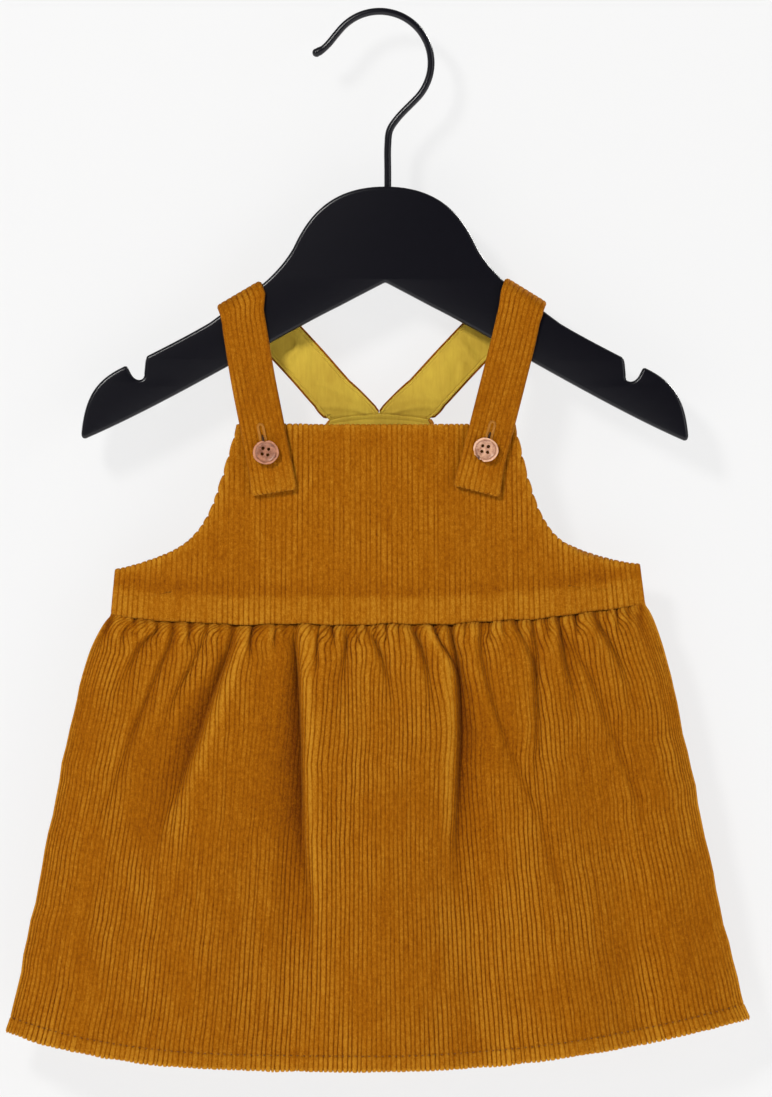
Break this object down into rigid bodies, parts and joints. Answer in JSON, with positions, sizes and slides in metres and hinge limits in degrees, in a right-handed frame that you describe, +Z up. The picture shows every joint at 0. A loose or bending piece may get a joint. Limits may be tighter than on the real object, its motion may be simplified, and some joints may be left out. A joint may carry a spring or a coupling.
{
  "type": "pinafore dress on a hanger",
  "caption": "Child's corduroy pinafore dress with a bib bodice, gathered skirt and buttoned straps that meet at the back neck, held by a wooden hanger.",
  "frame": {"origin": "inside top of the hanger's hook, where a rail or a wall hook carries it", "axes": "+Z up, +X to the right as seen from the front, +Y from the front to the back"},
  "size_m": [0.3562, 0.0486, 0.5095],
  "materials": {
    "corduroy": "ochre cotton corduroy, ten wales to the inch, soft nap",
    "cotton": "plain woven cotton, yellow olive",
    "coconut": "polished coconut shell, four holes",
    "black_wood": "satin black painted wood",
    "black_wire": "gloss black steel wire"
  },
  "bodies": {
    "root": {"front_bodice": "corduroy", "back_bodice": "corduroy", "back_facing": "cotton", "front_skirt": "corduroy", "back_skirt": "corduroy", "left_strap": "corduroy", "left_strap_lining": "cotton", "right_strap": "corduroy", "right_strap_lining": "cotton", "left_button": "coconut", "right_button": "coconut", "hanger": "black_wood", "hanger_hook": "black_wire"}
  },
  "joints": []
}
